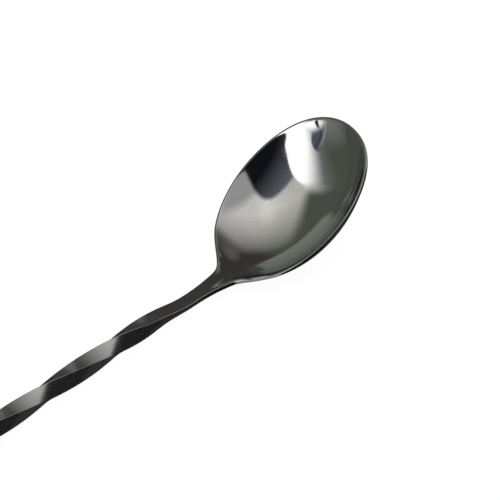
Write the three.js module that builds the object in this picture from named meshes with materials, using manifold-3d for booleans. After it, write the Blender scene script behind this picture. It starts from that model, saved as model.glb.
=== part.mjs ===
// A long bar spoon with a teaspoon-size bowl, a twisted square stem and a round knob on its end.
// Millimetres, +Z up. It lies on the plane z = 0, face up, resting on the back of the bowl and on the knob.
// +X runs along the stem towards the tip of the bowl. The origin is under the middle of the length.
import * as THREE from 'three';
import { mergeVertices } from 'three/addons/utils/BufferGeometryUtils.js';
import Module from 'manifold-3d';

const wasm = await Module();
wasm.setup();

// Whole spoon
const TOTAL_LENGTH = 280;
const STEM_HEIGHT = 4; // the stem's axis above the surface that the spoon lies on

// Bowl, in its own frame: x along the bowl, z square to the plane of its rim
const BOWL_LENGTH = 43.2;
const BOWL_WIDTH = 32.8;
const DISH_DEPTH = 8.8;
const DISH_FULLNESS = 0.47; // 0 is a paraboloid; more makes steeper sides and a flatter bottom
const RIM_WIDTH = 0.75; // the flat land around the dish
const RIM_EDGE = 0.88; // height of the rim's outer edge
const RIM_RISE = 0.26; // how far the two ends of the rim curve up
const RIM_CHAMFER = 0.15;
const BOTTOM_SPARE = 0.553; // extra depth of the outside over the inside, past the rim's edge
const EGG_TAPER = 0.035; // first and third order terms of the egg-shaped outline
const EGG_TIP = 0.07;
const BACK_PINCH = 0.28; // how much the outline narrows at the bowl's back end
const PINCH_START = 0.65; // share of the half length where it begins
const BOWL_TILT = THREE.MathUtils.degToRad(25); // between the rim plane and the stem
const ROOT_INSET = 1; // the stem's axis meets the rim plane this far inside the bowl's back end
const CUTTER_HEIGHT = 6;
const BOWL_RINGS = 11;
const BOWL_SEGMENTS = 64;

// Neck and rod. Distances along them are measured back from the bowl's root.
const NECK_END = 22; // the butt joint between neck and stem
const NECK_OVERLAP = 2.2; // how far the neck runs into the bowl's wall
const NECK_WIDTH = 3.6;
const NECK_THICKNESS = 1.15;
const NECK_DROP = 0.95; // the thin neck lies this far under the stem's axis
const NECK_THIN_END = 10;
const FLARE_START = 10.4;
const FLARE_RADIUS = 33.7;
const ROD_SIDE = 3.7;
const ROD_FULL = 31; // the rod has its full section from here on
const ROD_CORNER = 0.35;
const CORNER_STEPS = 2;
const NECK_STEPS = 22;

// Twist: right-handed
const QUARTER_TURN_LENGTH = 19.2;
const QUARTER_TURNS = 10;
const STEPS_PER_QUARTER = 10;

// Knob
const KNOB_LENGTH = 11;
const KNOB_RADIUS = 4;
const KNOB_FACE_RADIUS = 2.6; // the flat disc on its end
const KNOB_COLLAR_RADIUS = 3;
const KNOB_COLLAR_LENGTH = 2.5;
const SOCKET_DEPTH = 8.5;
const KNOB_SEGMENTS = 48;
const KNOB_ARC_STEPS = 6;

const halfLength = BOWL_LENGTH / 2;
const halfWidth = BOWL_WIDTH / 2;
const rootX = ROOT_INSET - halfLength;
const rootZ = rimHeight(rootX);
const tipReach = (halfLength - rootX) * Math.cos(BOWL_TILT) + (RIM_EDGE - RIM_RISE + rootZ) * Math.sin(BOWL_TILT);
const stemOrigin = TOTAL_LENGTH / 2 - tipReach; // part x of the bowl's root

// Height of the rim's top over the rim plane.
function rimHeight(x) {
  return RIM_RISE * (x / halfLength) ** 2;
}

// Width of the egg-shaped outline against a plain ellipse's, from the back end (-1) to the tip (1).
function eggWidth(along) {
  const pinched = Math.max(-along - PINCH_START, 0) / (1 - PINCH_START);
  return (1 + EGG_TAPER * along + EGG_TIP * along ** 3) * (1 - BACK_PINCH * pinched ** 2);
}

// Depth of the dish as a share of its full depth, at a ring whose size is a share of the outline.
function depthShare(ring) {
  const inside = 1 - ring * ring;
  return inside * (1 + DISH_FULLNESS * (1 - inside));
}

// From the bowl's own frame to the part's frame.
function placeInPart(x, y, z) {
  const along = x - rootX;
  const over = z - rootZ;
  return new THREE.Vector3(
    stemOrigin + along * Math.cos(BOWL_TILT) - over * Math.sin(BOWL_TILT),
    y,
    STEM_HEIGHT + along * Math.sin(BOWL_TILT) + over * Math.cos(BOWL_TILT),
  );
}

// One egg-shaped ring of the bowl: a share of the outline moved in by inset, at a height over the rim.
// It turns clockwise as seen from above.
function bowlRing(share, inset, height) {
  const points = [];
  for (let i = 0; i < BOWL_SEGMENTS; i += 1) {
    const angle = (-2 * Math.PI * i) / BOWL_SEGMENTS;
    const along = share * Math.cos(angle);
    const x = (halfLength - inset) * along;
    const y = (halfWidth - inset) * eggWidth(along) * share * Math.sin(angle);
    points.push(placeInPart(x, y, rimHeight(x) + height));
  }
  return points;
}

// A closed body through loops of equal length, with flat fans over both ends.
// Each loop turns counter-clockwise as seen by someone whom the next loop lies behind.
function loft(loops) {
  const count = loops[0].length;
  const positions = loops.flat().flatMap((point) => point.toArray());
  const indices = [];
  for (let ring = 0; ring < loops.length - 1; ring += 1) {
    for (let i = 0; i < count; i += 1) {
      const a = ring * count + i;
      const b = ring * count + ((i + 1) % count);
      indices.push(a, a + count, b, b, a + count, b + count);
    }
  }
  addFan(positions, indices, loops[0], 0, false);
  addFan(positions, indices, loops.at(-1), (loops.length - 1) * count, true);
  const geometry = new THREE.BufferGeometry();
  geometry.setAttribute('position', new THREE.Float32BufferAttribute(positions, 3));
  geometry.setIndex(indices);
  return geometry;
}

function addFan(positions, indices, loop, first, reversed) {
  const middle = new THREE.Vector3();
  loop.forEach((point) => middle.add(point));
  middle.divideScalar(loop.length);
  const hub = positions.length / 3;
  positions.push(...middle.toArray());
  for (let i = 0; i < loop.length; i += 1) {
    const a = first + i;
    const b = first + ((i + 1) % loop.length);
    indices.push(...(reversed ? [hub, b, a] : [hub, a, b]));
  }
}

function toSolid(geometry) {
  const bare = geometry.clone();
  bare.deleteAttribute('normal');
  bare.deleteAttribute('uv');
  const merged = mergeVertices(bare);
  const vertProperties = new Float32Array(merged.attributes.position.array);
  const triVerts = new Uint32Array(merged.index.array);
  return new wasm.Manifold(new wasm.Mesh({ numProp: 3, vertProperties, triVerts }));
}

function toGeometry(solid) {
  const mesh = solid.getMesh();
  const geometry = new THREE.BufferGeometry();
  geometry.setAttribute('position', new THREE.Float32BufferAttribute(mesh.vertProperties, 3));
  geometry.setIndex(Array.from(mesh.triVerts));
  return geometry;
}

function makeMesh(name, geometry, color, roughness, metalness) {
  geometry.computeVertexNormals();
  const mesh = new THREE.Mesh(geometry, new THREE.MeshStandardMaterial({ color, roughness, metalness }));
  mesh.name = name;
  return mesh;
}

// The outside of the bowl as a full body, without its dish.
function bowlBlank() {
  const outerDepth = DISH_DEPTH + BOTTOM_SPARE;
  const loops = [];
  for (let i = 1; i <= BOWL_RINGS; i += 1) {
    const share = Math.sin((Math.PI / 2) * (i / BOWL_RINGS));
    loops.push(bowlRing(share, 0, -RIM_EDGE - outerDepth * depthShare(share)));
  }
  loops.push(bowlRing(1, 0, -RIM_CHAMFER));
  loops.push(bowlRing(1, RIM_CHAMFER, 0));
  loops.push(bowlRing(1, 2 * RIM_WIDTH, 0));
  return toSolid(loft(loops));
}

// The hollow of the dish, carried on above the rim so that it cuts a clean edge.
function dishCutter() {
  const loops = [];
  for (let i = 1; i <= BOWL_RINGS; i += 1) {
    const share = Math.sin((Math.PI / 2) * (i / BOWL_RINGS));
    loops.push(bowlRing(share, RIM_WIDTH, -DISH_DEPTH * depthShare(share)));
  }
  loops.push(bowlRing(1, RIM_WIDTH, CUTTER_HEIGHT));
  return toSolid(loft(loops));
}

// Half width, top and bottom of the rod's section, heights counted from the stem's axis.
function rodSection(distance) {
  const full = THREE.MathUtils.smoothstep(distance, NECK_THIN_END, ROD_FULL);
  const level = THREE.MathUtils.smoothstep(distance, FLARE_START, NECK_END);
  const width = THREE.MathUtils.lerp(NECK_WIDTH, ROD_SIDE, full);
  const thickness = THREE.MathUtils.lerp(NECK_THICKNESS, ROD_SIDE, full);
  const middle = -NECK_DROP * (1 - level);
  const reach = Math.max(FLARE_START - distance, 0);
  const flare = FLARE_RADIUS - Math.sqrt(FLARE_RADIUS ** 2 - reach ** 2);
  return { side: width / 2 + flare, top: middle + thickness / 2, bottom: middle - thickness / 2 };
}

// The section as a loop with rounded corners, turned about the stem's axis.
function rodLoop(distance, turn) {
  const { side, top, bottom } = rodSection(distance);
  const middle = (top + bottom) / 2;
  const up = (top - bottom) / 2;
  const points = [];
  for (let corner = 0; corner < 4; corner += 1) {
    const y = (corner === 0 || corner === 3 ? 1 : -1) * (side - ROD_CORNER);
    const z = (corner < 2 ? 1 : -1) * (up - ROD_CORNER) + middle;
    for (let step = 0; step <= CORNER_STEPS; step += 1) {
      const angle = (Math.PI / 2) * (corner + step / CORNER_STEPS);
      const cornerY = y + ROD_CORNER * Math.cos(angle);
      const cornerZ = z + ROD_CORNER * Math.sin(angle);
      points.push(new THREE.Vector3(
        stemOrigin - distance,
        cornerY * Math.cos(turn) - cornerZ * Math.sin(turn),
        STEM_HEIGHT + cornerY * Math.sin(turn) + cornerZ * Math.cos(turn),
      ));
    }
  }
  return points;
}

function neck() {
  const loops = [];
  for (let i = 0; i <= NECK_STEPS; i += 1) {
    loops.push(rodLoop(THREE.MathUtils.lerp(-NECK_OVERLAP, NECK_END, i / NECK_STEPS), 0));
  }
  return toSolid(loft(loops));
}

function bowl() {
  const solid = bowlBlank().add(neck()).subtract(dishCutter());
  return makeMesh('bowl', toGeometry(solid), 0x9a9b9a, 0.08, 1);
}

// The rod from the butt joint to the bottom of the knob's socket.
function twistedStem() {
  const loops = [];
  const steps = QUARTER_TURNS * STEPS_PER_QUARTER;
  for (let i = 0; i <= steps; i += 1) {
    const quarters = i / STEPS_PER_QUARTER;
    loops.push(rodLoop(NECK_END + quarters * QUARTER_TURN_LENGTH, -quarters * (Math.PI / 2)));
  }
  loops.push(rodLoop(socketEnd(), -QUARTER_TURNS * (Math.PI / 2)));
  return makeMesh('twisted_stem', loft(loops), 0x9a9b9a, 0.12, 1);
}

// Distances from the root to the knob's far end and to the bottom of its socket.
function knobEnd() {
  return stemOrigin + TOTAL_LENGTH / 2;
}

function socketEnd() {
  return knobEnd() - KNOB_LENGTH + SOCKET_DEPTH;
}

// The knob's outline from its collar to its flat end, as (radius, height) points from the axis to the axis.
function knobProfile() {
  const startAngle = -Math.acos(KNOB_COLLAR_RADIUS / KNOB_RADIUS);
  const endAngle = Math.acos(KNOB_FACE_RADIUS / KNOB_RADIUS);
  const bellyFoot = Math.sin(startAngle);
  const stretch = (KNOB_LENGTH - KNOB_COLLAR_LENGTH) / (Math.sin(endAngle) - bellyFoot);
  const bellyPoint = (angle) => new THREE.Vector2(
    KNOB_RADIUS * Math.cos(angle),
    KNOB_COLLAR_LENGTH + (Math.sin(angle) - bellyFoot) * stretch,
  );
  const profile = [new THREE.Vector2(0, 0), new THREE.Vector2(KNOB_COLLAR_RADIUS, 0)];
  for (let i = 0; i < KNOB_ARC_STEPS; i += 1) {
    profile.push(bellyPoint(startAngle * (1 - i / KNOB_ARC_STEPS)));
  }
  for (let i = 0; i <= KNOB_ARC_STEPS; i += 1) {
    profile.push(bellyPoint(endAngle * (i / KNOB_ARC_STEPS)));
  }
  profile.push(new THREE.Vector2(0, KNOB_LENGTH));
  return profile;
}

// A moulded knob with a blind square socket that the stem's end fills.
function knob() {
  const body = new THREE.LatheGeometry(knobProfile(), KNOB_SEGMENTS);
  body.rotateZ(Math.PI / 2);
  body.translate(KNOB_LENGTH - TOTAL_LENGTH / 2, 0, STEM_HEIGHT);
  const mouth = socketEnd() - SOCKET_DEPTH - 1;
  const turn = -QUARTER_TURNS * (Math.PI / 2);
  const socket = loft([rodLoop(mouth, turn), rodLoop(socketEnd(), turn)]);
  return makeMesh('knob', toGeometry(toSolid(body).subtract(toSolid(socket))), 0xb01218, 0.25, 0);
}

const spoon = new THREE.Group();
spoon.add(bowl(), twistedStem(), knob());

export default spoon;
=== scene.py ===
"""Looks of the bar spoon: mirror-polished bowl and neck, twisted square stem and a moulded knob."""

import math

import bmesh
import bpy
import numpy as np
from mathutils import Matrix, Vector

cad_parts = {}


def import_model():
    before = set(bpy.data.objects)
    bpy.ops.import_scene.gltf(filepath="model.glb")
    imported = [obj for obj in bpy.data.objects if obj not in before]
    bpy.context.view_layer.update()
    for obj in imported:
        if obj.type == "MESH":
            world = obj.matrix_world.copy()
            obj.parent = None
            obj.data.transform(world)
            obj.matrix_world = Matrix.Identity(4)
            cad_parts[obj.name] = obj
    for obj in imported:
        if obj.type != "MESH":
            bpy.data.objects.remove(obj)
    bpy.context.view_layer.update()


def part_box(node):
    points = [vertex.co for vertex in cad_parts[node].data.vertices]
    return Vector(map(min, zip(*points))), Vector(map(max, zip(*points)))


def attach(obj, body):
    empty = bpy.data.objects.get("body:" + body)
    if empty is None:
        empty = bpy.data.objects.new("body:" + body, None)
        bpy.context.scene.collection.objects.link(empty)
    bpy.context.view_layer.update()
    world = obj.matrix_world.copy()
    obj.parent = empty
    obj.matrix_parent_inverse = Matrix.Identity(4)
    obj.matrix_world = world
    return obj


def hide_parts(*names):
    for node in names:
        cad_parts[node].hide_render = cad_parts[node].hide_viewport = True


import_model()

MM = 0.001
MICRON = 1e-6

# ---------------------------------------------------------------- sizes
# From the frame
BOWL_LOW, BOWL_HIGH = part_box("bowl")
STEM_LOW, STEM_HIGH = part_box("twisted_stem")
KNOB_LOW, KNOB_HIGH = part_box("knob")
STEM_HEIGHT = (KNOB_LOW.z + KNOB_HIGH.z) / 2
JOINT_X = STEM_HIGH.x
HALF_WIDTH = (BOWL_HIGH.y - BOWL_LOW.y) / 2

# Bowl, in its own frame: x along the bowl, z square to the plane of its rim
HALF_LENGTH = 21.6 * MM
DISH_DEPTH = 8.8 * MM
DISH_FULLNESS = 0.47       # 0 makes the dish a paraboloid, more makes its sides steeper
RIM_WIDTH = 0.42 * MM      # the land between the dish and the outer edge
RIM_ROUND = 0.07 * MM      # rounding of the upper outer edge
RIM_EDGE = 0.88 * MM       # height of the outer edge
RIM_RISE = 0.26 * MM       # the rim's ends stand this much higher than its middle
LAND_SLOPE = 0.025         # how much the rim's land falls outwards along the bowl's middle
NECK_SIDE_SLOPE = 0.13     # the same beside the neck
NECK_LAND = 0.22 * MM      # extra width of the land beside the neck
BOTTOM_SPARE = 0.508 * MM  # the back is this much deeper than the dish
EGG_TAPER = 0.035          # how much wider the outline gets towards the tip, evenly
EGG_TIP = 0.07             # the same, mostly at the ends
BACK_PINCH = 0.28          # how much the outline narrows at the bowl's back end
PINCH_START = 0.65         # from here on, in half lengths back from the middle
BOWL_TILT = math.radians(25)
ROOT_INSET = 1.0 * MM      # the root, where the neck begins, lies this far inside the back end
ROOT_SOFTNESS = 0.068      # how gently the dish runs out into the neck
CREASE_SOFTNESS = 0.012    # rounding of the dish's edge, as a share of the depth law
FILLET_POWER = 4.6         # higher makes tighter fillets between bowl and neck

# Where things come in and go out along the bowl, in half lengths from its middle towards the tip
ROOT_SOFTENS = (0.0, -0.6)
NECK_COMES_IN = (-0.35, -0.85)
NECK_LAND_COMES_IN = (-0.62, -0.84)
NECK_LAND_GOES_OUT = (-0.88, -1.02)
SIDE_SLOPE_COMES_IN = (-0.5, -0.8)
SLOPE_GOES_OUT = (0.1, 0.6)

# Neck and rod, by distance back from the bowl's root
NECK_END = 22.0 * MM
NECK_WIDTH = 3.6 * MM
NECK_THICKNESS = 1.15 * MM
NECK_DROP = 0.95 * MM      # the neck's middle runs this far below the stem's axis
NECK_THIN_END = 10.0 * MM  # the neck starts to thicken here
FLARE_START = 10.4 * MM    # and to widen here, towards the bowl, along an arc
FLARE_RADIUS = 33.7 * MM
ROD_SIDE = 3.62 * MM
ROD_FULL = 31.0 * MM       # the rod has its whole section from here on
EDGE_ROUND = 0.13 * MM
BLEND_START = -6.0 * MM    # between these two the tilted bowl turns into the level neck
BLEND_END = 6.2 * MM
QUARTER_TURN_LENGTH = 19.2 * MM
QUARTER_TURNS = 10
TWIST_EASE = 5.0 * MM      # length over which the twist eases in

# Knob
KNOB_RADIUS = (KNOB_HIGH.z - KNOB_LOW.z) / 2
KNOB_LENGTH = KNOB_HIGH.x - KNOB_LOW.x
KNOB_FACE_RADIUS = 2.6 * MM  # the flat disc on its end
KNOB_COLLAR_RADIUS = 3.0 * MM
KNOB_COLLAR_LENGTH = 2.5 * MM
KNOB_ROUND = 0.3 * MM
SOCKET_SPARE = 0.04 * MM
SOCKET_SIDE = ROD_SIDE + SOCKET_SPARE

# Worked out from those: the root's place in the part's frame and in the bowl's, and the neck's end
STEM_ORIGIN = JOINT_X + NECK_END
ROOT_X = ROOT_INSET - HALF_LENGTH
ROOT_Z = RIM_RISE * (ROOT_X / HALF_LENGTH) ** 2
NECK_END_X = ROOT_X - NECK_END * math.cos(BOWL_TILT)

# How finely the meshes are divided
COARSE_UNTIL = -1.25       # the neck's rows are wider apart up to here, in half lengths
NECK_ROWS = 40
BACK_ROWS = 90
FRONT_ROWS = 70
HALF_COLUMNS = 46
LAND_ROWS = (0.25, 0.5, 0.75)
ROUND_STEPS = 6
TWIST_STEPS = 480
CORNER_STEPS = 8
KNOB_SEGMENTS = 96
KNOB_BELLY_STEPS = 40
SHARP_ANGLE = math.radians(50)
WELD_DISTANCE = 1e-7


# ---------------------------------------------------------------- small tools
def rise(value, start, stop):
    """From 0 at start to 1 at stop, level at both ends; stop may be the smaller number."""
    t = np.clip((value - start) / (stop - start), 0.0, 1.0)
    return t * t * t * (t * (6 * t - 15) + 10)


def mix(a, b, share):
    """From a to b as share goes from 0 to 1."""
    return a + (b - a) * share


def edge_spacing(count):
    """Values from 0 to 1, packed closely towards 1."""
    return np.sin(np.linspace(0.0, math.pi / 2, count))


def grid_faces(index):
    """Quads over a two-dimensional array of vertex numbers."""
    corners = (index[:-1, :-1], index[1:, :-1], index[1:, 1:], index[:-1, 1:])
    return np.stack([c.ravel() for c in corners], axis=1)


def tube_faces(rings, segments):
    """Quads round a stack of rings, and a face over each end."""
    index = np.arange(rings * segments).reshape(rings, segments)
    closed = np.concatenate([index, index[:, :1]], axis=1)
    return [tuple(f) for f in grid_faces(closed)] + [tuple(index[0]), tuple(index[-1])]


def close_up(mesh):
    """Joins vertices in one place, drops faces without area and turns every face outwards."""
    build = bmesh.new()
    build.from_mesh(mesh)
    bmesh.ops.remove_doubles(build, verts=build.verts, dist=WELD_DISTANCE)
    bmesh.ops.dissolve_degenerate(build, edges=build.edges, dist=WELD_DISTANCE)
    bmesh.ops.recalc_face_normals(build, faces=build.faces)
    build.to_mesh(mesh)
    build.free()


def add_mesh(name, points, faces, material):
    """A smooth-shaded object from a point array and a list of face index tuples."""
    mesh = bpy.data.meshes.new(name)
    mesh.from_pydata([tuple(p) for p in points], [], [tuple(int(i) for i in f) for f in faces])
    mesh.validate()
    if len(faces) > 1:
        close_up(mesh)
    mesh.update()
    mesh.shade_smooth()
    mesh.set_sharp_from_angle(angle=SHARP_ANGLE)
    mesh.materials.append(material)
    piece = bpy.data.objects.new(name, mesh)
    bpy.context.scene.collection.objects.link(piece)
    return piece


def add_part(name, points, faces, material, node):
    """A visible piece of the spoon that stands for one CAD node."""
    piece = add_mesh(name, points, faces, material)
    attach(piece, "root")
    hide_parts(node)
    return piece


# ---------------------------------------------------------------- bowl and neck
def egg(along):
    """How much wider than an ellipse the bowl is; along runs from -1 at its root to 1 at its tip."""
    return 1 + EGG_TAPER * along + EGG_TIP * along ** 3


def depth_share(inside):
    """Depth as a share of the deepest, from the depth law's value: 0 on the outline, 1 in the middle."""
    return inside * (1 + DISH_FULLNESS * (1 - inside))


def run_out(along):
    """1 + along, rounded off where it reaches zero at the back end of the bowl."""
    back = 1 + along
    softness = ROOT_SOFTNESS * rise(along, *ROOT_SOFTENS)
    return (back + np.sqrt(back ** 2 + softness ** 2)) / 2


def rod_half_width(distance):
    """Half the neck's or rod's width, with the flare where it leaves the bowl."""
    full = rise(distance, NECK_THIN_END, ROD_FULL)
    reach = np.clip(FLARE_START - distance, 0, FLARE_START)
    flare = FLARE_RADIUS - np.sqrt(FLARE_RADIUS ** 2 - reach ** 2)
    return mix(NECK_WIDTH, ROD_SIDE, full) / 2 + flare


def rod_thickness(distance):
    """Thickness of the neck or rod."""
    full = rise(distance, NECK_THIN_END, ROD_FULL)
    return mix(NECK_THICKNESS, ROD_SIDE, full)


def rod_middle(distance):
    """Height of the rod's middle over the stem's axis."""
    return -NECK_DROP * (1 - rise(distance, FLARE_START, NECK_END))


def neck_land(along):
    """Extra width of the rim's land, where the bowl draws in towards the neck."""
    return NECK_LAND * rise(along, *NECK_LAND_COMES_IN) * (1 - rise(along, *NECK_LAND_GOES_OUT))


def half_width(along, distance, inset, spare):
    """Half the width of the bowl and neck together, with fillets between them."""
    bowl = (HALF_WIDTH - inset) * egg(along) * np.sqrt(np.clip(1 - along, 0, None) * run_out(along))
    pinched = np.clip((-along - PINCH_START) / (1 - PINCH_START), 0, None)
    bowl = np.clip(bowl * (1 - BACK_PINCH * pinched ** 2) - spare, 0, None)
    neck = (rod_half_width(distance) - inset) * rise(along, *NECK_COMES_IN)
    return (bowl ** FILLET_POWER + np.clip(neck, 0, None) ** FILLET_POWER) ** (1 / FILLET_POWER)


def rim_to_part(x, z):
    """From the bowl's own x and z to the part's."""
    along, over = x - ROOT_X, z - ROOT_Z
    return (STEM_ORIGIN + along * math.cos(BOWL_TILT) - over * math.sin(BOWL_TILT),
            STEM_HEIGHT + along * math.sin(BOWL_TILT) + over * math.cos(BOWL_TILT))


def spine(x):
    """For stations x of the bowl's frame: base point, up direction, distance and blend into the neck."""
    distance = (ROOT_X - x) / math.cos(BOWL_TILT)
    share = rise(distance, BLEND_START, BLEND_END)
    rim_x, rim_z = rim_to_part(x, RIM_RISE * (np.clip(x, -HALF_LENGTH, None) / HALF_LENGTH) ** 2)
    neck_x = STEM_ORIGIN - distance
    neck_z = STEM_HEIGHT + rod_middle(distance) + rod_thickness(distance) / 2
    base = np.stack([mix(rim_x, neck_x, share), np.zeros_like(x), mix(rim_z, neck_z, share)], axis=-1)
    lean = BOWL_TILT * (1 - share)
    up = np.stack([-np.sin(lean), np.zeros_like(x), np.cos(lean)], axis=-1)
    return base, up, distance, share


def plan_grid(station, across, inset, land=0.0):
    """Plan positions of the grid: x and y in the bowl's frame, and the depth law's value."""
    p, v = np.meshgrid(station, across, indexing="ij")
    front = np.clip(p, 0, 1)
    length = HALF_LENGTH - inset
    neck_scale = (NECK_END_X + length) / (station[0] + 1)
    x = np.where(p > 0, length * p * np.sqrt(1 - v ** 2 / 2), length * p)
    x = np.where(p < -1, (p + 1) * neck_scale - length, x)
    along = x / length
    distance = (ROOT_X - x) / math.cos(BOWL_TILT)
    y_front = v * (HALF_WIDTH - inset) * egg(along) * np.sqrt(1 - front ** 2 / 2)
    y_back = v * half_width(np.minimum(along, 0), distance, inset, land * neck_land(along))
    y = np.where(p > 0, y_front, y_back)
    ahead = np.where(p > 0, 1 - front ** 2, np.clip(1 - along, 0, None) * run_out(along))
    return x, y, ahead * (1 - v ** 2)


def sheet(station, across, inset, height, land=0.0):
    """A surface over the plan grid. height(inside, distance, share) gives how far it lies above each
    station's base point, measured along that station's up direction."""
    x, y, inside = plan_grid(station, across, inset, land)
    base, up, distance, share = spine(x)
    points = base + up * height(inside, distance, share)[..., None]
    points[..., 1] += y
    return points


def dish_height(inside, distance, share):
    """The polished face of the bowl and neck, its edge rounded a little."""
    softened = inside * inside / (inside + CREASE_SOFTNESS)
    return -DISH_DEPTH * depth_share(softened)


def back_height(inside, distance, share):
    """The underside: a rim's edge below the dish at the bowl, a rod's thickness below at the neck."""
    edge = mix(np.full_like(share, RIM_EDGE), rod_thickness(distance), share)
    return -edge - (DISH_DEPTH + BOTTOM_SPARE) * depth_share(inside)


def rim_height(inside, distance, share):
    """The plane of the rim, level with the base points."""
    return np.zeros_like(inside)


def outline(grid):
    """The open loop round a grid: up its right side, across its front end, back down its left side."""
    return np.concatenate([grid[:, 0], grid[-1, 1:], grid[-2::-1, -1]])


def land_slope(along):
    """How steeply the rim's land falls outwards."""
    side = mix(LAND_SLOPE, NECK_SIDE_SLOPE, rise(along, *SIDE_SLOPE_COMES_IN))
    return side * (1 - rise(along, *SLOPE_GOES_OUT))


def rim_strips(station, across, top):
    """Rows of points from the dish's edge over the rim's land and round its outer edge to the back."""
    loop_x = outline(plan_grid(station, across, RIM_WIDTH)[0])
    up, distance, share = spine(loop_x)[1:]
    start = outline(top)
    reach = outline(sheet(station, across, 0.0, rim_height)) - start
    width = np.linalg.norm(reach, axis=-1, keepdims=True)
    outward = reach / width
    thick = mix(np.full_like(share, RIM_EDGE), rod_thickness(distance), share)[:, None]
    rounding = mix(RIM_ROUND, EDGE_ROUND, share)[:, None]
    land = width - rounding
    fall = (land_slope(loop_x / HALF_LENGTH) * (1 - share))[:, None]
    rows = [start + (outward - up * fall) * land * part for part in LAND_ROWS]
    quarter = np.linspace(0, math.pi / 2, ROUND_STEPS)
    for angle in quarter:
        out = land + rounding * math.sin(angle)
        down = land * fall + rounding * (1 - math.cos(angle))
        rows.append(start + outward * out - up * down)
    for angle in quarter[:-1]:
        out = width - EDGE_ROUND * (1 - math.cos(angle))
        down = thick - EDGE_ROUND * (1 - math.sin(angle))
        rows.append(start + outward * out - up * down)
    return rows


def bowl_piece(material):
    """Bowl and neck as one closed mesh: dish, rim strips, back and the flat end of the neck."""
    neck = np.linspace(NECK_END_X / (HALF_LENGTH - RIM_WIDTH), COARSE_UNTIL, NECK_ROWS)
    middle = np.linspace(COARSE_UNTIL, 0, BACK_ROWS)[1:]
    station = np.concatenate([neck, middle, edge_spacing(FRONT_ROWS)[1:]])
    half = edge_spacing(HALF_COLUMNS)
    across = np.concatenate([-half[::-1], half[1:]])
    top = sheet(station, across, RIM_WIDTH, dish_height, 1.0)
    back = sheet(station, across, EDGE_ROUND, back_height)
    rows = rim_strips(station, across, top)
    points = [top.reshape(-1, 3), back.reshape(-1, 3)] + rows
    starts = np.cumsum([0] + [len(p) for p in points])
    top_index = np.arange(starts[0], starts[1]).reshape(top.shape[:2])
    back_index = np.arange(starts[1], starts[2]).reshape(back.shape[:2])
    loops = [outline(top_index)]
    loops += [np.arange(starts[2 + k], starts[3 + k]) for k in range(len(rows))]
    loops.append(outline(back_index))
    strip_index = np.stack(loops)
    neck_end = np.stack([top_index[0], back_index[0]])
    blocks = [grid_faces(index) for index in (top_index, back_index, strip_index, neck_end)]
    all_faces = [tuple(f) for block in blocks for f in block]
    all_faces += [tuple(strip_index[:, 0]), tuple(strip_index[:, -1])]
    points = np.concatenate(points)
    return add_part("spoon_bowl", points, all_faces, material, "bowl")


# ---------------------------------------------------------------- stem
def quarter_turns(length):
    """Quarter turns of the twist after a length of rod; the first few millimetres ease into it."""
    start = np.clip(length / TWIST_EASE, 0, 1)
    eased = TWIST_EASE * start ** 2 * (2 - start)
    return np.where(length < TWIST_EASE, eased, length) / QUARTER_TURN_LENGTH


def rod_outline(distance):
    """The rod's rounded square at each distance, as y and z from its axis, one row a distance."""
    side = rod_half_width(distance) - EDGE_ROUND
    up = rod_thickness(distance) / 2 - EDGE_ROUND
    y, z = [], []
    for corner in range(4):
        sign_y = 1 if corner in (0, 3) else -1
        sign_z = 1 if corner < 2 else -1
        for angle in np.linspace(corner, corner + 1, CORNER_STEPS) * math.pi / 2:
            y.append(sign_y * side + EDGE_ROUND * math.cos(angle))
            z.append(sign_z * up + EDGE_ROUND * math.sin(angle) + rod_middle(distance))
    return np.stack(y, axis=1), np.stack(z, axis=1)


def stem_piece(material):
    """The twisted rod, from the butt joint with the neck to its end in the knob's socket."""
    twisted = np.linspace(0, QUARTER_TURNS * QUARTER_TURN_LENGTH, TWIST_STEPS)
    distance = np.concatenate([NECK_END + twisted, [STEM_ORIGIN - STEM_LOW.x]])
    turn = -np.minimum(quarter_turns(distance - NECK_END), QUARTER_TURNS) * math.pi / 2
    cosine, sine = np.cos(turn)[:, None], np.sin(turn)[:, None]
    y, z = rod_outline(distance)
    x = np.broadcast_to((STEM_ORIGIN - distance)[:, None], y.shape)
    grid = np.stack([x, y * cosine - z * sine, STEM_HEIGHT + y * sine + z * cosine], axis=-1)
    points = grid.reshape(-1, 3)
    faces = tube_faces(*y.shape)
    return add_part("spoon_stem", points, faces, material, "twisted_stem")


# ---------------------------------------------------------------- knob
def knob_profile():
    """The barrel's outline from its collar to its flat end, as radius and height over the collar."""
    start = -math.acos(KNOB_COLLAR_RADIUS / KNOB_RADIUS)
    stop = math.acos(KNOB_FACE_RADIUS / KNOB_RADIUS)
    stretch = (KNOB_LENGTH - KNOB_COLLAR_LENGTH) / (math.sin(stop) - math.sin(start))
    profile = []
    for angle in np.linspace(0, math.pi / 2, ROUND_STEPS):
        radius = KNOB_COLLAR_RADIUS - KNOB_ROUND * (1 - math.sin(angle))
        profile.append((radius, KNOB_ROUND * (1 - math.cos(angle))))
    for angle in np.linspace(start, stop, KNOB_BELLY_STEPS):
        height = KNOB_COLLAR_LENGTH + (math.sin(angle) - math.sin(start)) * stretch
        profile.append((KNOB_RADIUS * math.cos(angle), height))
    return profile


def knob_piece(material):
    """The barrel with its blind square socket, which the stem's end fills."""
    turn = np.linspace(0, 2 * math.pi, KNOB_SEGMENTS, endpoint=False)
    across, over = np.cos(turn), np.sin(turn)
    socket = SOCKET_SIDE / 2 / np.maximum(abs(across), abs(over))
    rings = [(STEM_LOW.x, socket), (KNOB_HIGH.x, socket)]
    rings += [(KNOB_HIGH.x - height, radius) for radius, height in knob_profile()]
    points = np.concatenate([
        np.stack([np.full_like(turn, x), radius * across, STEM_HEIGHT + radius * over], axis=-1)
        for x, radius in rings])
    faces = tube_faces(len(rings), KNOB_SEGMENTS)
    return add_part("spoon_knob", points, faces, material, "knob")


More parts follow.
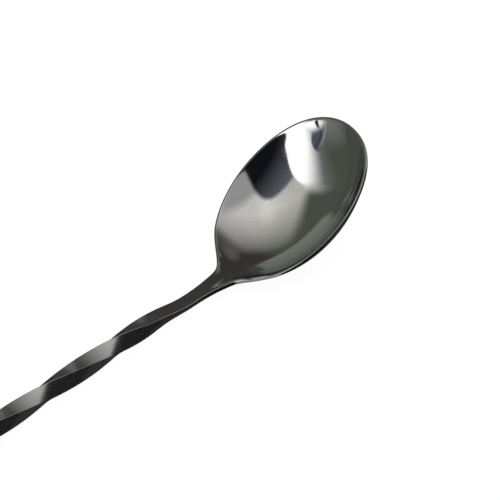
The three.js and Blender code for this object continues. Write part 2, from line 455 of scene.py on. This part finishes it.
# ---------------------------------------------------------------- node shorthand
class Wire:
    """The output of a node, with ordinary arithmetic."""
    def __init__(self, graph, socket):
        self.graph, self.socket = graph, socket

    def __add__(self, other):
        return self.graph.math("ADD", self, other)

    def __sub__(self, other):
        return self.graph.math("SUBTRACT", self, other)

    def __rsub__(self, other):
        return self.graph.math("SUBTRACT", other, self)

    def __mul__(self, other):
        return self.graph.math("MULTIPLY", self, other)

    def __truediv__(self, other):
        return self.graph.math("DIVIDE", self, other)

    def __pow__(self, other):
        return self.graph.math("POWER", self, other)

    __radd__ = __add__
    __rmul__ = __mul__


class Graph:
    """Builds a node tree out of formulas."""
    def __init__(self, tree):
        self.nodes, self.links = tree.nodes, tree.links

    def put(self, socket, value):
        """Links a wire to a socket, or sets the socket's value."""
        if isinstance(value, Wire):
            self.links.new(value.socket, socket)
        elif isinstance(value, tuple) and len(value) == 3 and socket.type == "RGBA":
            socket.default_value = value + (1,)
        else:
            socket.default_value = value

    def node(self, kind, inputs, output=0, **settings):
        """Adds a node with its settings and inputs, and returns one of its outputs."""
        node = self.nodes.new(kind)
        for name, value in settings.items():
            setattr(node, name, value)
        for name, value in inputs.items():
            self.put(node.inputs[name], value)
        return None if output is None else Wire(self, node.outputs[output])

    def math(self, operation, *values):
        return self.node("ShaderNodeMath", dict(enumerate(values)), operation=operation)

    def ramp(self, start, stop, value, kind="SMOOTHSTEP"):
        """0 before start, 1 after stop, even when stop is the smaller number."""
        inputs = {"Value": value, "From Min": start, "From Max": stop}
        return self.node("ShaderNodeMapRange", inputs, interpolation_type=kind)

    def line(self, start, stop, value):
        """As ramp, but straight."""
        return self.ramp(start, stop, value, "LINEAR")

    def blend(self, share, below, above):
        """Colour above over colour below."""
        node = self.nodes.new("ShaderNodeMix")
        node.data_type = "RGBA"
        # The node's sockets for numbers and vectors come before those for colours
        for index, value in ((0, share), (6, below), (7, above)):
            self.put(node.inputs[index], value)
        return Wire(self, node.outputs[2])

    def between(self, share, below, above):
        """A number between two numbers."""
        return below + (above - below) * share

    def tint(self, colour, amount):
        """A colour made lighter or darker."""
        return self.node("ShaderNodeHueSaturation", {"Color": colour, "Value": amount})

    def split(self, vector):
        """The three parts of a vector."""
        node = self.nodes.new("ShaderNodeSeparateXYZ")
        self.put(node.inputs[0], vector)
        return [Wire(self, node.outputs[k]) for k in range(3)]

    def turned(self, vector, scale, angle):
        """A vector turned about the vertical and then stretched."""
        turn = self.node("ShaderNodeMapping", {"Vector": vector, "Rotation": (0.0, 0.0, angle)})
        return self.node("ShaderNodeMapping", {"Vector": turn, "Scale": scale})

    def noise(self, vector, scale, detail, roughness=0.5):
        """Cloudy noise around a half."""
        inputs = {"Vector": vector, "Scale": scale, "Detail": detail, "Roughness": roughness}
        return self.node("ShaderNodeTexNoise", inputs)

    def bump(self, height):
        """A normal from a height in metres."""
        return self.node("ShaderNodeBump", {"Height": height, "Distance": 1.0, "Strength": 1.0})


# ---------------------------------------------------------------- materials
# Noise scales are cells to the metre; the ramps over a noise pick out its peaks
def new_material(name):
    """A material, its graph, its shader node and the place on the part in metres."""
    material = bpy.data.materials.new(name)
    material.use_nodes = True
    g = Graph(material.node_tree)
    place = g.node("ShaderNodeTexCoord", {}, "Object")
    return material, g, material.node_tree.nodes["Principled BSDF"], place


# Steel
BOWL_STEEL = (0.62, 0.62, 0.61)
# The rod's colour is darker than the bowl's: painted shade that dims the rod's reflections
ROD_STEEL_SHADED = (0.50, 0.495, 0.49)
BOWL_ROUGHNESS = 0.050
ROD_ROUGHNESS = 0.21
# Between these two the polish fades to satin and the rod's painted shade comes in
DULL_AND_SHADE_FROM = JOINT_X + 19.0 * MM  # the polish starts to fade here, beside the bowl
DULL_AND_SHADE_FULL = JOINT_X - 4.0 * MM   # and is gone here, on the rod
WIPE_ANGLE = 0.62                # radians between the polishing marks and the stem
SCRATCH_ANGLE = -0.9


def polished_steel():
    """Mirror polish on the bowl that turns duller along the neck to the twisted rod, and darker there by
    painted shade in the rod's colour.
    """
    material, g, shader, place = new_material("polished_steel")
    dull_and_shaded = g.ramp(DULL_AND_SHADE_FROM, DULL_AND_SHADE_FULL, g.split(place)[0])
    # Polishing marks and scratches run slantwise over the bowl, drawing marks along the rod
    wipes = g.noise(g.turned(place, (90, 1500, 900), WIPE_ANGLE), 1.0, 4.0)
    drawn = g.noise(g.turned(place, (260, 6500, 6500), 0.0), 1.0, 4.0)
    smudge = g.ramp(0.48, 0.72, g.noise(place, 170.0, 5.0, 0.6))
    spots = g.ramp(0.66, 0.72, g.noise(place, 1900.0, 2.0))
    fine_lines = g.noise(g.turned(place, (330, 15000, 6000), SCRATCH_ANGLE), 1.0, 2.0)
    scratches = g.ramp(0.64, 0.70, fine_lines)
    clouds = (g.noise(place, 240.0, 4.0) - 0.5) * 0.06
    tone = 0.99 + clouds + (wipes - 0.5) * 0.10 - smudge * 0.03
    # Painted shade: towards the rod the colour darkens to the rod's darker steel
    steel = g.blend(dull_and_shaded, BOWL_STEEL, ROD_STEEL_SHADED)
    g.put(shader.inputs["Base Color"], g.tint(steel, tone - dull_and_shaded * spots * 0.12))
    g.put(shader.inputs["Metallic"], 1.0 - dull_and_shaded * 0.02)
    bright = BOWL_ROUGHNESS + smudge * 0.045 + (wipes - 0.5) * 0.03 + scratches * 0.06
    satin = ROD_ROUGHNESS + (drawn - 0.5) * 0.12 + smudge * 0.05 + spots * 0.06
    g.put(shader.inputs["Roughness"], g.between(dull_and_shaded, bright, satin))
    waves = g.noise(place, 95.0, 1.0) * (16.0 * MICRON) + g.noise(place, 420.0, 2.0) * (0.8 * MICRON)
    marks = (wipes * (0.22 * MICRON) - scratches * (0.4 * MICRON)) * (1.0 - dull_and_shaded)
    height = waves + marks + drawn * dull_and_shaded * (1.1 * MICRON) - spots * dull_and_shaded * (1.5 * MICRON)
    g.put(shader.inputs["Normal"], g.bump(height))
    return material


# The knob's plastic
PLASTIC_DEEP = (0.40, 0.012, 0.016)
PLASTIC_RED = (0.52, 0.022, 0.026)
PLASTIC_WORN = (0.60, 0.16, 0.15)
PLASTIC_ROUGHNESS = 0.16
PLASTIC_IOR = 1.49
PLASTIC_COAT = 0.30
WORN_LENGTH = 2.2 * MM     # how far the wear reaches from the knob's end
SEAM_FOOT = 0.13 * MM      # half the seam's width at its foot
SEAM_CREST = 0.03 * MM     # the same at its crest


def knob_plastic():
    """Glossy moulded plastic with a faint seam, a fine skin texture and scuffs towards the end."""
    material, g, shader, place = new_material("knob_plastic")
    x, _, z = g.split(place)
    skin = g.noise(place, 2600.0, 3.0)
    flow = g.noise(g.turned(place, (160, 420, 420), 0.0), 1.0, 4.0)
    dust = g.ramp(0.60, 0.70, g.noise(place, 5200.0, 2.0))
    end = g.ramp(KNOB_LOW.x + WORN_LENGTH, KNOB_LOW.x, x)
    rubs = g.noise(g.turned(place, (9000, 900, 2400), 0.4), 1.0, 3.0)
    scuffs = g.ramp(0.56, 0.66, rubs) * (0.25 + end * 0.75)
    seam = g.ramp(SEAM_FOOT, SEAM_CREST, g.math("ABSOLUTE", z - STEM_HEIGHT))
    red = g.blend(flow, PLASTIC_DEEP, PLASTIC_RED)
    g.put(shader.inputs["Base Color"], g.blend(scuffs * 0.20 + dust * 0.03, red, PLASTIC_WORN))
    rough = PLASTIC_ROUGHNESS + (flow - 0.5) * 0.06 + scuffs * 0.25 + dust * 0.05
    g.put(shader.inputs["Roughness"], rough)
    shader.inputs["IOR"].default_value = PLASTIC_IOR
    shader.inputs["Coat Weight"].default_value = PLASTIC_COAT
    grain = skin * (2.2 * MICRON) + flow * (6.0 * MICRON)
    g.put(shader.inputs["Normal"], g.bump(grain + seam * (26.0 * MICRON) - scuffs * (5.0 * MICRON)))
    return material


# ---------------------------------------------------------------- floor and dome
FLOOR_REACH = 3.0          # metres from the middle to each side
FLOOR_GREY = (0.10, 0.10, 0.10)
FLOOR_GLOW = 0.95
DOME_RADIUS = 4.0
DOME_GLOW = 1.05
WHITE = (1.0, 1.0, 1.0)


def floor():
    """A pale paper sweep that lights the spoon from below and hides from mirror reflections."""
    material, g, shader, place = new_material("floor_paper")
    fibres = g.noise(place, 900.0, 4.0, 0.6)
    clouds = g.noise(place, 9.0, 3.0)
    tone = 0.985 + (clouds - 0.5) * 0.012 + (fibres - 0.5) * 0.010
    g.put(shader.inputs["Base Color"], g.tint(FLOOR_GREY, tone))
    g.put(shader.inputs["Emission Color"], g.tint(WHITE, tone))
    shader.inputs["Emission Strength"].default_value = FLOOR_GLOW
    shader.inputs["Roughness"].default_value = 0.9
    g.put(shader.inputs["Normal"], g.bump(fibres * (20.0 * MICRON)))
    corners = ((-1, -1), (1, -1), (1, 1), (-1, 1))
    points = [(x * FLOOR_REACH, y * FLOOR_REACH, 0) for x, y in corners]
    piece = add_mesh("floor", points, [(0, 1, 2, 3)], material)
    piece.visible_glossy = False


def studio_dome():
    """A big glowing sphere: soft light from all round and a white backdrop, hidden from reflections."""
    bpy.ops.mesh.primitive_uv_sphere_add(segments=48, ring_count=24, radius=DOME_RADIUS)
    dome = bpy.context.object
    dome.name = "studio_dome"
    material = bpy.data.materials.new("dome_light")
    material.use_nodes = True
    tree = material.node_tree
    tree.nodes.clear()
    g = Graph(tree)
    light = g.node("ShaderNodeEmission", {"Color": WHITE, "Strength": DOME_GLOW})
    g.node("ShaderNodeOutputMaterial", {"Surface": light}, output=None)
    dome.data.materials.append(material)
    dome.visible_glossy = False


# ---------------------------------------------------------------- the room in the reflections
# Light values that the mirror finish sees, before the steel dims them
ROOM_GREEN = (0.097, 0.113, 0.090)
ROOM_CHARCOAL = (0.055, 0.051, 0.050)
SCREEN_GREEN = (0.232, 0.261, 0.223)
CEILING = (0.83, 0.805, 0.775)
CEILING_FAR = (0.44, 0.44, 0.45)
CEILING_GLOW = (1.15, 1.13, 1.10)
CLOTH_TOP = (0.150, 0.160, 0.190)
CLOTH_BLACK = (0.008, 0.010, 0.013)
CARD_WHITE = (1.65, 1.65, 1.67)
LENS_BLUE = (0.105, 0.120, 0.165)
LENS_CORE = (0.045, 0.050, 0.075)
FILL_GREY = (0.85, 0.85, 0.84)
BELOW_GREY = (0.25, 0.25, 0.25)
BELOW_BLACK = (0.010, 0.010, 0.011)
TWICE_GREEN = (0.140, 0.160, 0.138)
TWICE_PALE = (0.350, 0.390, 0.345)
TWICE_DARK = (0.090, 0.084, 0.084)

# A direction is given as degrees from overhead, u of them towards +X and v towards +Y. Ramps over u, v
# and their sums are in those degrees; ramps over an ellipse run from its middle, 0, to its edge, 1.
# Ellipses: middle and radii
GLOW = ((-7.0, -14.0), (15.0, 30.0))
SPOT = ((-11.0, -21.0), (5.0, 5.0))
CLOTH = ((-32.0, -70.0), (29.5, 58.0))
NOTCH = ((-81.5, 2.0), (11.5, 20.0))
STREAK = ((-36.0, 22.0), (8.0, 40.0))
LENS = ((-81.5, -3.0), (12.0, 15.5))
FILL = ((92.0, 10.0), (25.0, 45.0))
CLOTH_SQUARENESS = 2.2     # 2 is a plain ellipse, more is squarer
CARD_EDGE = -36.3          # u of the white card's near edge
CARD_BOW = 0.0029          # how fast that edge bends away below CARD_BOW_FROM
CARD_BOW_FROM = 18.0
FIRST_REFLECTION = 2.5     # the sky shader counts a single reflection as ray depth 2


def ellipse(g, u, v, middle, radii, power=2.0):
    """Size of the ellipse through a direction, 1 on its edge."""
    a = g.math("ABSOLUTE", (u - middle[0]) / radii[0])
    b = g.math("ABSOLUTE", (v - middle[1]) / radii[1])
    return (a ** power + b ** power) ** (1 / power)


def add_screen(g, u, v, colour):
    """A paler screen past the spoon's long edge."""
    screen = g.ramp(-17.0, -13.0, u) * g.ramp(36.0, 28.0, u + (v - 50.0) * 0.6)
    screen = screen * g.ramp(-1.5, 2.5, v - 56.0 + u * 0.26)
    return g.blend(screen, colour, SCREEN_GREEN)


def add_ceiling(g, u, v, colour):
    """The pale ceiling: it fades evenly to the far right, ends on a slanted edge and glows overhead."""
    fade = g.line(55.0, -15.0, u + v)
    edge = g.ramp(43.0, 31.0, v * 0.77 - u * 0.64) * g.ramp(-42.0, -36.0, u)
    dim = 1.0 - 0.22 * g.ramp(-14.0, -34.0, u)
    paint = g.blend(g.ramp(-37.0, -51.0, v), CEILING, CEILING_FAR)
    colour = g.blend(fade * edge * dim, colour, paint)
    glow = g.ramp(1.0, 0.0, ellipse(g, u, v, *GLOW))
    spot = g.ramp(1.0, 0.3, ellipse(g, u, v, *SPOT))
    return g.blend(glow * 0.45 + spot * 0.35, colour, CEILING_GLOW)


def add_cloth(g, u, v, colour):
    """The black cloth on the camera's side, which reaches down to the floor."""
    frayed = g.ramp(-28.0, -12.0, u) * 0.045
    cloth = g.ramp(1.07, 0.92, ellipse(g, u, v, *CLOTH, CLOTH_SQUARENESS) - frayed)
    lower = g.ramp(-67.0, -77.0, v) * g.ramp(56.0, 40.0, u)
    depth = g.line(-14.0, -60.0, v + (u + 25.0) * -0.25)
    shade = g.blend(depth, CLOTH_TOP, CLOTH_BLACK)
    return g.blend(g.math("MAXIMUM", cloth, lower), colour, shade)


def card_shape(g, u, v, polar):
    """The white card: soft upper edge, sharp bowed near edge, rounded foot and a notch for the lens."""
    bow = g.math("MAXIMUM", CARD_BOW_FROM - v, 0.0)
    softness = 1.0 + g.ramp(2.0, 30.0, v) * 9.0
    near = g.ramp(0.7, -0.7, (u - CARD_EDGE + bow * bow * CARD_BOW) / softness)
    slant = g.ramp(80.0, 43.0, v - u)
    foot = g.ramp(-1.2, 1.2, v + 54.5 - (u + 50.0) * 0.4)
    notch = g.ramp(0.9, 1.08, ellipse(g, u, v, *NOTCH))
    beyond = g.ramp(-90.0, -99.0, u + v * 0.45)
    return g.math("MAXIMUM", near * slant * notch, beyond) * foot * g.ramp(128.0, 114.0, polar)


def add_haze(g, u, v, colour):
    """The card's soft glow on the wall round it."""
    haze = g.ramp(104.0, 62.0, v - u) * g.ramp(-30.0, -40.0, u) * g.ramp(-10.0, 5.0, v) * 0.09
    streak = g.ramp(1.0, 0.0, ellipse(g, u, v, *STREAK)) * g.ramp(12.0, 18.0, v) * 0.16
    glare = g.ramp(-68.0, -102.0, u) * 0.09
    return g.blend(g.math("MAXIMUM", haze, streak) + glare, colour, CARD_WHITE)


def add_lens(g, u, v, colour):
    """A dark round lens in the card's notch, with a black core line and a gleam beside it."""
    lens = g.ramp(1.05, 0.85, ellipse(g, u, v, *LENS)) * g.ramp(10.0, 2.0, v)
    fold = v + 1.0 + (u + 80.0) * 0.5
    core = g.ramp(4.0, 0.0, g.math("ABSOLUTE", fold)) * lens
    gleam = g.ramp(3.0, 0.0, g.math("ABSOLUTE", fold - 7.0)) * g.ramp(-71.0, -78.0, u)
    colour = g.blend(lens, colour, LENS_BLUE)
    colour = g.blend(core * 0.8, colour, LENS_CORE)
    return g.blend(gleam * 0.14, colour, CARD_WHITE)


def room_once(g, u, v):
    """The room that one reflection shows."""
    polar = (u * u + v * v) ** 0.5
    colour = g.blend(g.ramp(8.0, 26.0, u), ROOM_GREEN, ROOM_CHARCOAL)
    for add in (add_screen, add_ceiling, add_cloth, add_haze, add_lens):
        colour = add(g, u, v, colour)
    card = card_shape(g, u, v, polar)
    colour = g.blend(card, colour, CARD_WHITE)
    colour = g.blend(g.ramp(1.1, 0.8, ellipse(g, u, v, *FILL)), colour, FILL_GREY)
    ground = g.blend(g.ramp(-125.0, -75.0, u), BELOW_GREY, BELOW_BLACK)
    ground = g.blend(g.ramp(35.0, 75.0, u) * 0.10, ground, BELOW_GREY)
    return g.blend(g.ramp(100.0, 122.0, polar) * (1.0 - card), colour, ground)


def room_twice(g, u, v):
    """The same room after two or more reflections, where the steel has evened it out."""
    pale = g.ramp(-35.0, -28.0, u) * g.ramp(1.5, -1.5, u - 20.0 - v * 0.18)
    patch = g.ramp(-45.0, -42.0, u) * g.ramp(-36.0, -39.0, u) * g.ramp(10.0, 40.0, v)
    light = g.math("MAXIMUM", pale * g.line(90.0, -5.0, v), patch * 0.65)
    dark = g.blend(g.ramp(16.0, 30.0, u - v * 0.18), TWICE_GREEN, TWICE_DARK)
    return g.blend(light, dark, TWICE_PALE)


def world():
    """A dark room with a white card and a pale ceiling, which only the glossy surfaces see."""
    scene_world = bpy.data.worlds.new("studio")
    scene_world.use_nodes = True
    tree = scene_world.node_tree
    g = Graph(tree)
    x, y, z = g.split(g.node("ShaderNodeTexCoord", {}, "Generated"))
    polar = g.math("ARCCOSINE", z) * (180 / math.pi)
    level = g.math("MAXIMUM", (x * x + y * y) ** 0.5, 0.0001)
    u, v = polar * x / level, polar * y / level
    depth = g.node("ShaderNodeLightPath", {}, "Ray Depth")
    later = g.math("GREATER_THAN", depth, FIRST_REFLECTION)
    colour = g.blend(later, room_once(g, u, v), room_twice(g, u, v))
    g.put(tree.nodes["Background"].inputs["Color"], colour)
    bpy.context.scene.world = scene_world


# The flag card's edges, in the part's frame
FLAG_LEFT = -140.0 * MM
FLAG_RIGHT = 83.0 * MM
FLAG_SIDE = -5.5 * MM
FLAG_TOP = 11.2 * MM
FLAG_BLACK = (0.012, 0.012, 0.013)


def flag():
    """A low black card close beside the rod, which only its glossy faces see."""
    material, g, shader, place = new_material("flag_black")
    g.put(shader.inputs["Base Color"], g.tint(FLAG_BLACK, g.noise(place, 60.0, 3.0)))
    shader.inputs["Roughness"].default_value = 1.0
    shader.inputs["Specular IOR Level"].default_value = 0.0
    corners = ((FLAG_LEFT, 0), (FLAG_RIGHT, 0), (FLAG_RIGHT, FLAG_TOP), (FLAG_LEFT, FLAG_TOP))
    piece = add_mesh("flag", [(x, FLAG_SIDE, z) for x, z in corners], [(0, 1, 2, 3)], material)
    piece.visible_camera = False
    piece.visible_diffuse = False
    piece.visible_shadow = False


# ---------------------------------------------------------------- camera
CAMERA_TARGET = Vector((0.10802, 0.00019, 0.00559))
CAMERA_DISTANCE = 0.650
CAMERA_AZIMUTH = math.radians(-119.262)
CAMERA_ELEVATION = math.radians(41.879)
CAMERA_ROLL = math.radians(13.109)
CAMERA_LENS = 210.6        # millimetres, on a 36 mm sensor
CAMERA_REACH = 20          # the far clip, well past the dome


def camera():
    """A long lens from the photograph's viewing angle."""
    level = math.cos(CAMERA_ELEVATION)
    back = Vector((level * math.cos(CAMERA_AZIMUTH), level * math.sin(CAMERA_AZIMUTH),
                   math.sin(CAMERA_ELEVATION)))
    level_right = Vector((0, 0, 1)).cross(back).normalized()
    level_up = back.cross(level_right)
    up = level_up * math.cos(CAMERA_ROLL) + level_right * math.sin(CAMERA_ROLL)
    turn = Matrix((up.cross(back), up, back)).transposed().to_4x4()
    data = bpy.data.cameras.new("camera")
    data.lens = CAMERA_LENS
    data.clip_end = CAMERA_REACH
    view = bpy.data.objects.new("camera", data)
    view.matrix_world = Matrix.Translation(CAMERA_TARGET + back * CAMERA_DISTANCE) @ turn
    bpy.context.scene.collection.objects.link(view)
    bpy.context.scene.camera = view


# ---------------------------------------------------------------- the scene
camera()
world()
floor()
flag()
studio_dome()
steel = polished_steel()
bowl_piece(steel)
stem_piece(steel)
knob_piece(knob_plastic())
bpy.context.scene.view_settings.view_transform = "Standard"
